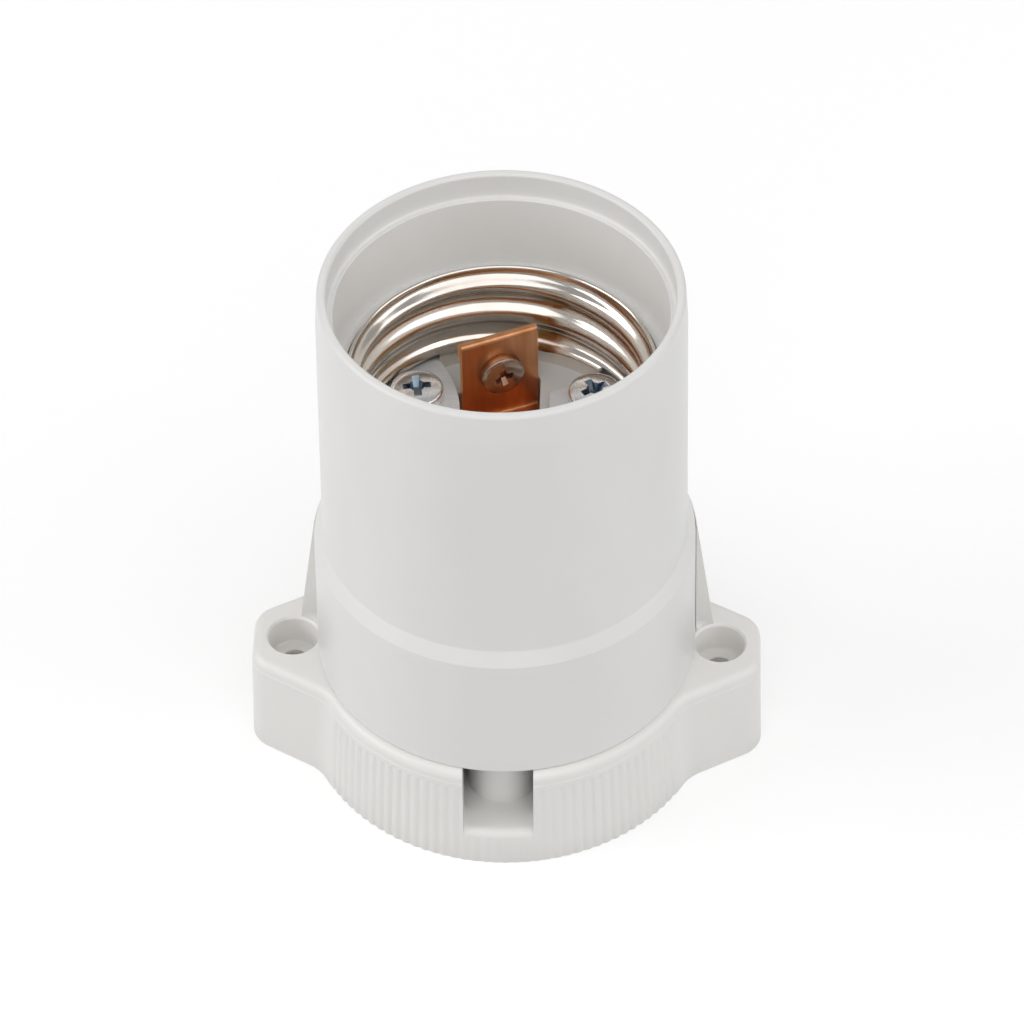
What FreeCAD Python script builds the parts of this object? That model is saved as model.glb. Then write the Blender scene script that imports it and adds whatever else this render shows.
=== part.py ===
# Surface lamp holder for an E27 screw cap: a moulded barrel on a base with two fixing ears.
# Millimetres. The origin is on the underside of the base, on the barrel's axis. Z points up,
# out of the mouth, the two ears lie along X and the cable notch faces -Y.
import FreeCAD, Part
import os
from math import atan2, cos, degrees, hypot, pi, radians, sin, tan

# Base: a shallow dish with a thick ring wall, two ears and a collar behind the barrel
base_height = 10.9
ring_foot_radius = 19.05
ring_back_extra = 1.15
ring_draft = 0.7
ring_wall = 2.1
ring_edge_round = 0.8
floor_level = 3.9
ear_spacing = 40.0
ear_forward = 0.7
ear_corner_radius = 3.0
ear_corner_reach = 1.1
ear_half_width = 1.6
ear_flare_angle = 30.0
ear_draft = 0.3
ear_front_blend = 4.0
ear_back_blend = 1.5
ear_hole_diameter = 2.4
ear_head_diameter = 4.65
ear_head_depth = 3.2
notch_width = 6.5
notch_offset_x = -0.2
collar_edge_gap = 0.5
collar_foot_thickness = 1.7
collar_edge_thickness = 0.1
collar_start_angle = 4.2
collar_clearance = 0.1
collar_foot_round = 0.9

# Grip flutes on the front of the ring wall
flute_pitch_angle = 3.0
flute_radius = 0.42
flute_depth = 0.2
flute_top_gap = 1.7
flute_notch_gap_angle = 11.8
flute_end_angle = 57.0

# Barrel: outside profile
barrel_top = 54.4
mouth_radius = 16.25
mouth_cone_height = 3.2
mouth_cone_spread = 0.2
lip_wall = 0.85
lip_depth = 2.6
lip_round = 0.35
step_level = 26.0
step_height = 1.4
body_radius_at_step = 16.76
skirt_radius_at_step = 17.53
skirt_radius_at_foot = 17.69
skirt_wall = 1.8

# Barrel: inside
bore_radius = 14.9
contact_floor_level = 34.5
contact_floor_thickness = 3.8
shell_pocket_radius = 14.2
chamber_top_radius = 14.7

# Screw shell: corrugated sheet that takes an E27 screw cap
shell_sheet = 0.35
shell_height = 10.4
shell_foot_radius = 12.6
shell_foot_height = 1.2
foot_ring_height = 0.3
thread_pitch = 3.63
thread_root_radius = 13.6
thread_depth = 0.9
thread_crest_height = 1.35
thread_fade = 0.9
shell_rim_height = 0.6

# Side screws with the plates that hold the shell by the ring round its foot
side_screw_x = 8.1
side_screw_y = 5.9
side_plate_thickness = 0.6
side_plate_outer_radius = 13.3
side_plate_front_y = 3.3
left_plate_inner_x = 4.15
left_plate_bow = 0.73
left_plate_back_angle = 119.5
right_plate_inner_x = 3.95
right_plate_back_y = 7.1
plate_slot_headroom = 0.9
plate_slot_side_gap = 0.4
pad_radius = 2.5
washer_diameter = 5.0
washer_thickness = 0.3
screw_diameter = 3.0
screw_hole_clearance = 0.2
pan_head_diameter = 4.8
pan_head_height = 1.5
recess_width = 2.8
recess_slot = 0.75
recess_depth = 1.1
nut_width = 5.5
nut_height = 2.0
nut_pocket_depth = 0.6
nut_clearance = 0.15

# Centre contact: folded copper strip on a moulded post
contact_turn = 24.0
contact_offset_x = 2.74
contact_face_y = 7.6
contact_width = 7.6
contact_sheet = 0.4
contact_top = 41.2
contact_hem_length = 2.0
contact_hem_gap = 0.15
contact_bend_radius = 0.5
contact_foot_level = 31.1
contact_tongue_width = 4.0
contact_tongue_slope = 32.0
contact_tongue_reach = 8.4
contact_knee_reach = 4.6
contact_tip_length = 1.2
contact_screw_level = 37.1
contact_screw_diameter = 2.5
contact_head_diameter = 4.1
contact_head_height = 1.1
contact_screw_tip_gap = 0.2
post_thickness = 1.2
post_side_inset = 0.9
window_margin = 0.2
window_reach = 6.6

# Terminals under the contact floor
terminal_sheet = 0.8
terminal_width = 6.0
terminal_edge = 3.2
live_terminal_gap = 0.2
live_screw_y = -1.7
neutral_screw_x = -9.4
neutral_screw_y = -2.6
clamp_plate_size = 6.0
clamp_plate_thickness = 0.8
terminal_screw_length = 5.0

# Body screws from the underside of the base into the barrel
boss_radius = 3.3
boss_wall_gap = 1.25
boss_joint_level = 12.0
body_screw_diameter = 3.0
body_screw_length = 19.0
body_screw_hole = 3.3
body_head_diameter = 5.6
body_head_height = 1.8
body_head_pocket_diameter = 6.2
body_head_pocket_depth = 2.3

X = FreeCAD.Vector(1, 0, 0)
Y = FreeCAD.Vector(0, 1, 0)
Z = FreeCAD.Vector(0, 0, 1)
ORIGIN = FreeCAD.Vector(0, 0, 0)

# Places that several pieces share
ring_top_radius = ring_foot_radius - ring_draft
ring_bore_radius = ring_top_radius - ring_wall
boss_circle_radius = ring_bore_radius - boss_radius - boss_wall_gap
side_plate_under = contact_floor_level + foot_ring_height
side_plate_top = side_plate_under + side_plate_thickness
side_screw_seat = side_plate_top + washer_thickness
shell_rim_level = contact_floor_level + shell_height
contact_floor_under = contact_floor_level - contact_floor_thickness
terminal_under = contact_floor_under - terminal_sheet
clamp_under = terminal_under - clamp_plate_thickness
contact_back_y = contact_face_y + contact_sheet
live_leg_back_y = contact_back_y + terminal_sheet


def vec(x, y, z=0.0):
    return FreeCAD.Vector(x, y, z)


def revolved(points):
    """Full turn about Z of a closed outline of (radius, height) points."""
    corners = [vec(r, 0, z) for r, z in points]
    face = Part.Face(Part.makePolygon(corners + corners[:1]))
    return face.revolve(ORIGIN, Z, 360)


def block(x0, x1, y0, y1, z0, z1):
    return Part.makeBox(x1 - x0, y1 - y0, z1 - z0, vec(x0, y0, z0))


def turned(shape):
    """Turn a shape from the contact strip's own square frame to its place in the holder."""
    return shape.rotated(ORIGIN, Z, contact_turn)


def turned_point(x, y):
    c, s = cos(radians(contact_turn)), sin(radians(contact_turn))
    return x * c - y * s, x * s + y * c


def arc(centre, radius, start, end, z):
    """Arc edge from angle start to angle end, in degrees, the short way round."""
    middle = (start + end) / 2
    ends = [vec(centre[0] + radius * cos(radians(a)), centre[1] + radius * sin(radians(a)), z)
            for a in (start, middle, end)]
    return Part.Arc(*ends).toShape()


def ear_side(ring_radius, corner_radius, side, z):
    """Front or back side of the right ear: concave blend, straight flare and rounded corner."""
    flare = radians(ear_flare_angle)
    blend_radius = ear_back_blend if side > 0 else ear_front_blend
    corner = vec(ear_spacing / 2 + ear_corner_reach, side * ear_half_width - ear_forward, z)
    out = vec(sin(flare), side * cos(flare))
    inward = vec(-cos(flare), side * sin(flare))
    start = corner + out * (corner_radius + blend_radius) - Z * z
    along = start.dot(inward)
    reach = along**2 - start.Length**2 + (ring_radius + blend_radius)**2
    centre = start + inward * (-along - reach**0.5) + Z * z
    ring_angle = degrees(atan2(centre.y, centre.x))
    line_angle = side * (90 - ear_flare_angle)
    flare_ends = [centre - out * blend_radius, corner + out * corner_radius]
    edges = [
        arc((centre.x, centre.y), blend_radius, ring_angle + 180 * side,
            line_angle + 180 * side, z),
        Part.makeLine(*flare_ends),
        arc((corner.x, corner.y), corner_radius, line_angle, 0, z),
    ]
    return ring_angle, edges, corner + X * corner_radius


def base_outline(front_radius, back_radius, corner_radius, z):
    """Ring and two ears in one smooth closed wire."""
    low, low_edges, low_tip = ear_side(front_radius, corner_radius, -1, z)
    high, high_edges, high_tip = ear_side(back_radius, corner_radius, 1, z)
    right = low_edges + [Part.makeLine(low_tip, high_tip)] + high_edges
    front = arc((0, 0), front_radius, low, -180 - low, z)
    back = arc((0, 0), back_radius, high, 180 - high, z)
    left = [edge.mirror(ORIGIN, X) for edge in right]
    return Part.Wire(Part.__sortEdges__([front] + right + [back] + left))


def base_block():
    """Drafted outer block of the base with its rounded top edge."""
    back_radius = ring_foot_radius + ring_back_extra
    foot = base_outline(ring_foot_radius, back_radius, ear_corner_radius, 0)
    top = base_outline(ring_top_radius, back_radius - ring_draft, ear_corner_radius - ear_draft,
                       base_height)
    shape = Part.makeLoft([foot, top], True, True)
    top_edges = [e for e in shape.Edges if min(v.Z for v in e.Vertexes) > base_height - 0.01]
    return shape.makeFillet(ring_edge_round, top_edges)


def rear_collar():
    """Wall behind the skirt, a wedge in section that runs out at the skirt's top edge."""
    inner_foot = skirt_radius_at_foot + collar_clearance
    inner_top = skirt_radius_at_step + collar_clearance
    top = step_level - step_height - collar_edge_gap
    root = base_height - 2 * ring_edge_round
    points = [
        (inner_foot, root),
        (inner_foot + collar_foot_thickness, root),
        (inner_foot + collar_foot_thickness, base_height),
        (inner_top + collar_edge_thickness, top),
        (inner_top, top),
        (inner_foot, base_height),
    ]
    corners = [vec(r, 0, z) for r, z in points]
    face = Part.Face(Part.makePolygon(corners + corners[:1]))
    face.rotate(ORIGIN, Z, collar_start_angle)
    return face.revolve(ORIGIN, Z, 180 - 2 * collar_start_angle)


def flutes():
    """Upright round grooves, leaning with the draft, that leave the grip ribs between them."""
    lean = degrees(atan2(ring_draft, base_height))
    length = base_height - flute_top_gap + flute_radius
    groove = Part.makeCylinder(flute_radius, length, vec(0, 0, -flute_radius))
    groove.rotate(ORIGIN, X, -lean)
    groove.translate(vec(0, -ring_foot_radius - flute_radius + flute_depth, 0))
    grooves = []
    angle = flute_notch_gap_angle
    while angle < flute_end_angle:
        grooves.append(groove.rotated(ORIGIN, Z, angle))
        grooves.append(groove.rotated(ORIGIN, Z, -angle))
        angle += flute_pitch_angle
    return Part.makeCompound(grooves)


def collar_coves():
    """Concave fillets where the collar's two end faces stand on the ears."""
    r = collar_foot_round
    low = base_height - ring_edge_round
    inner = skirt_radius_at_foot + collar_clearance
    cove = block(inner, inner + collar_foot_thickness, -r, 0, low, base_height + r)
    hollow = Part.makeCylinder(r, inner + collar_foot_thickness, vec(0, -r, base_height + r), X)
    cove = cove.cut(hollow).rotated(ORIGIN, Z, collar_start_angle)
    return Part.makeCompound([cove, cove.mirror(ORIGIN, X)])


def base():
    """Moulded base: ring, ears, rear collar, floor and the two body-screw bosses."""
    shape = base_block().fuse(rear_collar()).fuse(collar_coves())
    shape = shape.cut(Part.makeCylinder(ring_bore_radius, base_height, vec(0, 0, floor_level)))
    skirt_room = skirt_radius_at_foot + collar_clearance
    shape = shape.cut(Part.makeCylinder(skirt_room, base_height, vec(0, 0, base_height)))
    left, right = notch_offset_x - notch_width / 2, notch_offset_x + notch_width / 2
    shape = shape.cut(block(left, right, -2 * ring_foot_radius, 0, floor_level, 2 * base_height))
    for side in (-1, 1):
        place = vec(side * ear_spacing / 2, -ear_forward, 0)
        seat = base_height - ear_head_depth
        shape = shape.cut(Part.makeCylinder(ear_hole_diameter / 2, base_height, place))
        shape = shape.cut(Part.makeCylinder(ear_head_diameter / 2, base_height, place + Z * seat))
    for side in (-1, 1):
        place = vec(0, side * boss_circle_radius, 0)
        height = boss_joint_level - body_head_pocket_depth
        boss = Part.makeCylinder(boss_radius, height, place + Z * body_head_pocket_depth)
        pocket = Part.makeCylinder(body_head_pocket_diameter / 2, body_head_pocket_depth, place)
        shape = shape.fuse(boss).cut(pocket)
        shape = shape.cut(Part.makeCylinder(body_screw_hole / 2, 2 * base_height, place))
    return shape.cut(flutes()).removeSplitter()


def barrel_body():
    """Turned form of the barrel, with the contact floor across it."""
    step_foot = step_level - step_height
    shoulder = shell_rim_level - shell_rim_height
    points = [
        (0, contact_floor_under),
        (chamber_top_radius, contact_floor_under),
        (chamber_top_radius, step_level),
        (skirt_radius_at_step - skirt_wall, step_foot - skirt_wall),
        (skirt_radius_at_foot - skirt_wall, base_height),
        (skirt_radius_at_foot, base_height),
        (skirt_radius_at_step, step_foot),
        (body_radius_at_step, step_level),
        (mouth_radius + mouth_cone_spread, barrel_top - mouth_cone_height),
        (mouth_radius, barrel_top),
        (mouth_radius - lip_wall, barrel_top),
        (mouth_radius - lip_wall, barrel_top - lip_depth),
        (bore_radius, barrel_top - lip_depth),
        (bore_radius, shoulder),
        (shell_pocket_radius, shoulder),
        (shell_pocket_radius, contact_floor_level),
        (0, contact_floor_level),
    ]
    shape = revolved(points)
    lip_edges = [e for e in shape.Edges if all(v.Z > barrel_top - 0.01 for v in e.Vertexes)]
    return shape.makeFillet(lip_round, lip_edges)


def barrel_boss(side):
    """Long screw boss under the contact floor, tied to the wall by a web."""
    place = vec(0, side * boss_circle_radius, 0)
    length = contact_floor_under - boss_joint_level
    boss = Part.makeCylinder(boss_radius, length, place + Z * boss_joint_level)
    web = block(-boss_radius / 2, boss_radius / 2, 0, bore_radius - boss_circle_radius,
                step_level, contact_floor_under)
    web.translate(vec(0, boss_circle_radius, 0))
    if side < 0:
        web.rotate(ORIGIN, Z, 180)
    pilot_length = body_screw_length + screw_hole_clearance
    pilot = Part.makeCylinder(body_screw_diameter / 2, pilot_length,
                              place + Z * body_head_pocket_depth)
    return boss.fuse(web), pilot


def contact_post():
    """Moulded post that backs the live terminal, with room for the screw's tip."""
    half = contact_width / 2 - post_side_inset
    top = contact_top - contact_hem_length
    back = live_leg_back_y + post_thickness
    post = block(contact_offset_x - half, contact_offset_x + half, live_leg_back_y, back,
                 contact_floor_level, top)
    tip = Part.makeCylinder((contact_screw_diameter + screw_hole_clearance) / 2, post_thickness,
                            vec(contact_offset_x, live_leg_back_y, contact_screw_level), Y)
    return turned(post.cut(tip))


def contact_window():
    """Window in the contact floor for strip and tongue, with the live terminal's room below."""
    wide = contact_width / 2 + window_margin
    narrow = contact_tongue_width / 2 + window_margin
    knee = contact_face_y - contact_knee_reach - window_margin
    front = contact_back_y - window_reach
    left, right = contact_offset_x - wide, contact_offset_x + wide
    window = block(left, right, knee, live_leg_back_y, contact_floor_under, contact_floor_level)
    slot = block(contact_offset_x - narrow, contact_offset_x + narrow, front, knee,
                 contact_floor_under, contact_floor_level)
    leg_room = block(left, right, front, live_leg_back_y + live_terminal_gap,
                     terminal_under - live_terminal_gap, contact_floor_under)
    return turned(window.fuse(slot).fuse(leg_room))


def side_places():
    return ((-side_screw_x, side_screw_y), (side_screw_x, side_screw_y))


def live_screw_place():
    return turned_point(contact_offset_x, live_screw_y)


def barrel():
    """Moulded barrel: mouth, well, contact floor, post and bosses in one piece."""
    shape = barrel_body()
    pilots = []
    for side in (-1, 1):
        boss, pilot = barrel_boss(side)
        shape = shape.fuse(boss)
        pilots.append(pilot)
    shape = shape.cut(Part.makeCompound(pilots)).cut(contact_window()).fuse(contact_post())
    hole = (screw_diameter + screw_hole_clearance) / 2
    for x, y in side_places():
        pad = Part.makeCylinder(pad_radius, foot_ring_height, vec(x, y, contact_floor_level))
        shape = shape.fuse(pad).cut(Part.makeCylinder(hole, barrel_top, vec(x, y, 0)))
    nut = nut_width / 2 + nut_clearance
    x, y = side_places()[1]
    shape = shape.cut(block(x - nut, x + nut, y - nut, y + nut, step_level,
                            contact_floor_under + nut_pocket_depth))
    tip_room = clamp_under + terminal_screw_length + screw_hole_clearance - contact_floor_under
    for x, y in (live_screw_place(), (neutral_screw_x, neutral_screw_y)):
        shape = shape.cut(Part.makeCylinder(hole, tip_room, vec(x, y, contact_floor_under)))
    return shape.removeSplitter()


def shell_radius(angle, z):
    """Inner radius of the screw shell at an angle in radians and a height above its foot."""
    turn = (z - thread_crest_height) / thread_pitch - (angle - pi / 2) / (2 * pi)
    wave = smooth_step((shell_height - shell_rim_height - z) / thread_fade)
    thread = thread_root_radius - wave * thread_depth * (1 + cos(2 * pi * turn)) / 2
    foot = smooth_step((z - shell_foot_height) / thread_fade)
    return shell_foot_radius + (thread - shell_foot_radius) * foot


def smooth_step(share):
    share = min(1.0, max(0.0, share))
    return share**2 * (3 - 2 * share)


def shell_wall(offset):
    """One side of the corrugated wall: a single spline face that closes on itself.

    The spline's control points stand a little off the wanted wall, because a smooth spline
    runs inside the corners of its control net.
    """
    rows, columns = 20, 28
    round_pull = 3 / (2 + cos(2 * pi / columns))
    net = []
    for i in range(columns):
        angle = 2 * pi * i / columns
        line = []
        for j in range(rows + 1):
            z = shell_height * j / rows
            r = (shell_radius(angle, z) + offset) * round_pull
            line.append(vec(r * cos(angle), r * sin(angle), contact_floor_level + z))
        net.append(line)
    end_knots = [4] + [1] * (rows - 3) + [4]
    surface = Part.BSplineSurface()
    surface.buildFromPolesMultsKnots(net, [1] * (columns + 1), end_knots,
                                     [float(k) for k in range(columns + 1)],
                                     [float(k) for k in range(rows - 1)], True, False, 3, 3)
    return surface.toShape()


def edge_at(face, level):
    """The closed edge of a face that lies at one height."""
    return [e for e in face.Edges if all(abs(v.Z - level) < 1e-6 for v in e.Vertexes)][0]


def screw_shell():
    """Thin threaded shell with a plain foot, slotted over the ring that the plates hold."""
    inner = shell_wall(0.0)
    outer = shell_wall(shell_sheet)
    faces = [inner, outer]
    for level in (contact_floor_level, shell_rim_level):
        wires = [Part.Wire([edge_at(face, level)]) for face in (outer, inner)]
        faces.append(Part.Face(wires, "Part::FaceMakerBullseye"))
    skin = Part.makeShell(faces)
    skin.sewShape()
    solid = Part.Solid(skin)
    for side in (-1, 1):
        solid = solid.cut(prism_of(plate_outline(side, plate_slot_side_gap), side_plate_under,
                                   side_plate_top + plate_slot_headroom))
    return solid


def plate_outline(side, gap):
    """Closed edges of a side plate's plan, gap larger at front and back than the plate.

    The outer ends run well past the shell.
    """
    far = 2 * side_plate_outer_radius
    front = side_plate_front_y - gap
    if side < 0:
        angle = radians(left_plate_back_angle)
        start = vec(-left_plate_inner_x, front)
        corner = vec(side_plate_outer_radius * cos(angle),
                     side_plate_outer_radius * sin(angle) + gap)
        across = (corner - start).cross(Z).normalize()
        middle = (start + corner) / 2 + across * left_plate_bow
        inner = Part.Arc(start, middle, corner).toShape()
        outer = [corner, vec(far * cos(angle), far * sin(angle) + gap), vec(-far, far),
                 vec(-far, front), start]
        return [inner] + [Part.makeLine(p, q) for p, q in zip(outer, outer[1:])]
    rise = (far - right_plate_inner_x) * tan(radians(contact_turn))
    corners = [vec(right_plate_inner_x, front), vec(far, front),
               vec(far, right_plate_back_y + rise + gap),
               vec(right_plate_inner_x, right_plate_back_y + gap)]
    return [Part.makeLine(p, q) for p, q in zip(corners, corners[1:] + corners[:1])]


def prism_of(edges, low, high):
    """Upright prism on closed edges drawn at height zero."""
    shape = Part.Face(Part.Wire(edges)).extrude(vec(0, 0, high - low))
    shape.translate(vec(0, 0, low))
    return shape


def side_plate(side):
    """Zinc-plated plate under a side screw; its round edge reaches through the shell's slot."""
    outer = Part.makeCylinder(side_plate_outer_radius, side_plate_thickness,
                              vec(0, 0, side_plate_under))
    plate = outer.common(prism_of(plate_outline(side, 0), side_plate_under, side_plate_top))
    hole = (screw_diameter + screw_hole_clearance) / 2
    return plate.cut(Part.makeCylinder(hole, barrel_top, vec(side * side_screw_x, side_screw_y)))


def side_washer(side):
    """Flat washer between a side screw's head and its plate."""
    place = vec(side * side_screw_x, side_screw_y, side_plate_top)
    hole = (screw_diameter + screw_hole_clearance) / 2
    disc = Part.makeCylinder(washer_diameter / 2, washer_thickness, place)
    return disc.cut(Part.makeCylinder(hole, washer_thickness, place))


def pan_head(diameter, height):
    """Domed screw head with a cross recess, seated at the origin and facing up."""
    dome = diameter * 0.8
    edge = height * 0.45
    bulge = (dome**2 / 4 + (height - edge)**2) / (2 * (height - edge))
    head = Part.makeCylinder(diameter / 2, height)
    sphere = Part.makeSphere(bulge, vec(0, 0, height - bulge))
    cone = Part.makeCone(diameter / 2, dome / 2, height - edge, vec(0, 0, edge))
    head = Part.makeCylinder(diameter / 2, edge).fuse(cone).fuse(
        head.common(sphere).common(Part.makeCylinder(dome / 2, height)))
    size = diameter / pan_head_diameter
    half, slot = recess_width * size / 2, recess_slot * size / 2
    deep = height - recess_depth * size
    arms = block(-half, half, -slot, slot, deep, 2 * height)
    arms = arms.fuse(block(-slot, slot, -half, half, deep, 2 * height))
    return head.cut(arms).removeSplitter()


def screw(diameter, length, head_diameter, head_height, place, direction):
    """Pan-head screw whose head seats at place and whose shank runs against direction."""
    shank = Part.makeCylinder(diameter / 2, length, vec(0, 0, -length))
    shape = pan_head(head_diameter, head_height).fuse(shank)
    turn = FreeCAD.Rotation(Z, direction)
    shape.Placement = FreeCAD.Placement(place, turn)
    return shape


def side_screw(side):
    """Machine screw through plate and floor; its end stands just past nut or terminal."""
    end = terminal_under if side < 0 else contact_floor_under + nut_pocket_depth - nut_height
    length = side_screw_seat - end + screw_hole_clearance
    place = vec(side * side_screw_x, side_screw_y, side_screw_seat)
    return screw(screw_diameter, length, pan_head_diameter, pan_head_height, place, Z)


def side_nut():
    """Square nut in its pocket under the right side screw."""
    half = nut_width / 2
    x, y = side_places()[1]
    top = contact_floor_under + nut_pocket_depth
    nut = block(x - half, x + half, y - half, y + half, top - nut_height, top)
    return nut.cut(Part.makeCylinder(screw_diameter / 2, top, vec(x, y, 0)))


def strip_path(points, radius):
    """Wire through (y, z) points at x = 0 with every inner corner rounded to a tangent arc."""
    edges = []
    last = vec(0, *points[0])
    for before, corner, after in zip(points, points[1:], points[2:]):
        a, b, c = vec(0, *before), vec(0, *corner), vec(0, *after)
        into, out = (a - b).normalize(), (c - b).normalize()
        half_angle = into.getAngle(out) / 2
        setback = radius / tan(half_angle)
        bisector = (into + out).normalize()
        centre = b + bisector * (radius / sin(half_angle))
        start, end = b + into * setback, b + out * setback
        middle = centre - bisector * radius
        edges.append(Part.LineSegment(last, start).toShape())
        edges.append(Part.Arc(start, middle, end).toShape())
        last = end
    edges.append(Part.LineSegment(last, vec(0, *points[-1])).toShape())
    return edges


def offset_strip(points, sheet, radius, width):
    """Bent strip of one sheet, from the middle line of its side view."""
    wire = Part.Wire(strip_path(points, radius))
    band = wire.extrude(vec(width, 0, 0))
    band.translate(vec(-width / 2, 0, 0))
    solid = band.makeOffsetShape(sheet / 2, 1e-4, fill=True)
    other = band.makeOffsetShape(-sheet / 2, 1e-4, fill=True)
    return solid.fuse(other).removeSplitter()


def centre_contact():
    """Copper strip: hem, upright face with its screw hole, and the sprung tongue."""
    mid_y = contact_face_y + contact_sheet / 2
    hem_y = mid_y + contact_sheet + contact_hem_gap
    fold = (contact_sheet + contact_hem_gap) / 2
    top = contact_top - contact_sheet / 2
    foot = contact_foot_level + contact_sheet / 2
    slope = radians(contact_tongue_slope)
    bend_y = mid_y - contact_tongue_reach
    rise = contact_tongue_reach * tan(slope)
    points = [
        (bend_y - contact_tip_length * cos(slope), foot + rise - contact_tip_length * sin(slope)),
        (bend_y, foot + rise),
        (mid_y, foot),
        (mid_y, top - fold),
    ]
    lower = offset_strip(points, contact_sheet, contact_bend_radius, contact_width)
    for side in (-1, 1):
        edge = side * contact_tongue_width / 2
        low, high = sorted((edge, side * contact_width))
        lower = lower.cut(block(low, high, -barrel_top, contact_face_y - contact_knee_reach,
                                0, contact_top))
    outer = fold + contact_sheet / 2
    centre = vec(-contact_width / 2, (mid_y + hem_y) / 2, top - fold)
    tube = Part.makeCylinder(outer, contact_width, centre, X)
    tube = tube.cut(Part.makeCylinder(outer - contact_sheet, contact_width, centre, X))
    half = contact_width / 2
    hem_fold = tube.common(block(-half, half, 0, hem_y + contact_sheet, top - fold, barrel_top))
    hem = block(-half, half, hem_y - contact_sheet / 2, hem_y + contact_sheet / 2,
                contact_top - contact_hem_length + live_terminal_gap, top - fold)
    strip = lower.fuse(hem_fold).fuse(hem)
    strip.translate(vec(contact_offset_x, 0, 0))
    hole = (contact_screw_diameter + screw_hole_clearance) / 2
    place = vec(contact_offset_x, contact_face_y - contact_bend_radius, contact_screw_level)
    strip = strip.cut(Part.makeCylinder(hole, contact_width, place, Y))
    return turned(strip).removeSplitter()


def centre_contact_screw():
    """Screw that clamps the copper strip to the live terminal."""
    x, y = turned_point(contact_offset_x, contact_face_y)
    facing = vec(sin(radians(contact_turn)), -cos(radians(contact_turn)))
    length = contact_sheet + terminal_sheet + post_thickness - contact_screw_tip_gap
    return screw(contact_screw_diameter, length, contact_head_diameter,
                 contact_head_height, vec(x, y, contact_screw_level), facing)


def live_terminal():
    """Brass angle behind the copper strip, turned forward under the contact floor."""
    mid_y = contact_back_y + terminal_sheet / 2
    mid_z = terminal_under + terminal_sheet / 2
    points = [(live_screw_y - terminal_edge, mid_z), (mid_y, mid_z),
              (mid_y, contact_top - contact_hem_length)]
    shape = offset_strip(points, terminal_sheet, terminal_sheet, terminal_width)
    shape = shape.cut(Part.makeCylinder(contact_screw_diameter / 2, contact_width,
                                        vec(0, contact_face_y, contact_screw_level), Y))
    shape = shape.cut(Part.makeCylinder(screw_diameter / 2, barrel_top, vec(0, live_screw_y, 0)))
    shape.translate(vec(contact_offset_x, 0, 0))
    return turned(shape)


def neutral_terminal():
    """Brass strip under the floor from the left side screw to its terminal screw."""
    x, y = side_places()[0]
    run_x, run_y = neutral_screw_x - x, neutral_screw_y - y
    length = hypot(run_x, run_y)
    half = terminal_width / 2
    strip = block(-terminal_edge, length + terminal_edge, -half, half,
                  terminal_under, contact_floor_under)
    corners = [e for e in strip.Edges
               if abs(e.Vertexes[0].Z - e.Vertexes[1].Z) > terminal_sheet / 2]
    strip = strip.makeFillet(terminal_sheet, corners)
    strip.rotate(ORIGIN, Z, degrees(atan2(run_y, run_x)))
    strip.translate(vec(x, y, 0))
    for hole_x, hole_y in ((x, y), (neutral_screw_x, neutral_screw_y)):
        strip = strip.cut(Part.makeCylinder(screw_diameter / 2, barrel_top, vec(hole_x, hole_y, 0)))
    return strip


def clamp_plate(x, y):
    """Square wire clamp with clipped corners, on a terminal screw."""
    half = clamp_plate_size / 2
    plate = block(-half, half, -half, half, clamp_under, terminal_under)
    corners = [e for e in plate.Edges
               if abs(e.Vertexes[0].Z - e.Vertexes[1].Z) > clamp_plate_thickness / 2]
    plate = plate.makeChamfer(clamp_plate_thickness, corners)
    hole = (screw_diameter + screw_hole_clearance) / 2
    plate = plate.cut(Part.makeCylinder(hole, barrel_top))
    plate.translate(vec(x, y, 0))
    return plate


def terminal_screw(x, y):
    """Screw that faces down into the wiring chamber and closes a wire clamp."""
    return screw(screw_diameter, terminal_screw_length, pan_head_diameter, pan_head_height,
                 vec(x, y, clamp_under), -Z)


def body_screw(side):
    """Tapping screw from the underside of the base into a barrel boss."""
    place = vec(0, side * boss_circle_radius, body_head_pocket_depth)
    return screw(body_screw_diameter, body_screw_length, body_head_diameter, body_head_height,
                 place, -Z)


def write(name, shape):
    solids = shape.Solids
    if not shape.isValid() or len(solids) != 1:
        raise RuntimeError(f"{name}: {len(solids)} solids, valid {shape.isValid()}")
    solids[0].exportStep(f"parts/{name}.step")
    print(name, "volume", round(solids[0].Volume, 1))


os.makedirs("parts", exist_ok=True)
live_x, live_y = live_screw_place()
write("base", base())
write("barrel", barrel())
write("screw_shell", screw_shell())
write("left_shell_plate", side_plate(-1))
write("right_shell_plate", side_plate(1))
write("left_screw_washer", side_washer(-1))
write("right_screw_washer", side_washer(1))
write("left_shell_screw", side_screw(-1))
write("right_shell_screw", side_screw(1))
write("right_shell_nut", side_nut())
write("centre_contact", centre_contact())
write("centre_contact_screw", centre_contact_screw())
write("live_terminal", live_terminal())
write("live_wire_clamp", clamp_plate(live_x, live_y))
write("live_terminal_screw", terminal_screw(live_x, live_y))
write("neutral_terminal", neutral_terminal())
write("neutral_wire_clamp", clamp_plate(neutral_screw_x, neutral_screw_y))
write("neutral_terminal_screw", terminal_screw(neutral_screw_x, neutral_screw_y))
write("front_body_screw", body_screw(-1))
write("rear_body_screw", body_screw(1))
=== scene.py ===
import bmesh
import bpy
from math import asin, atan2, cos, hypot, pi, radians, sin, sqrt, tan
from mathutils import Matrix, Vector


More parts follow.
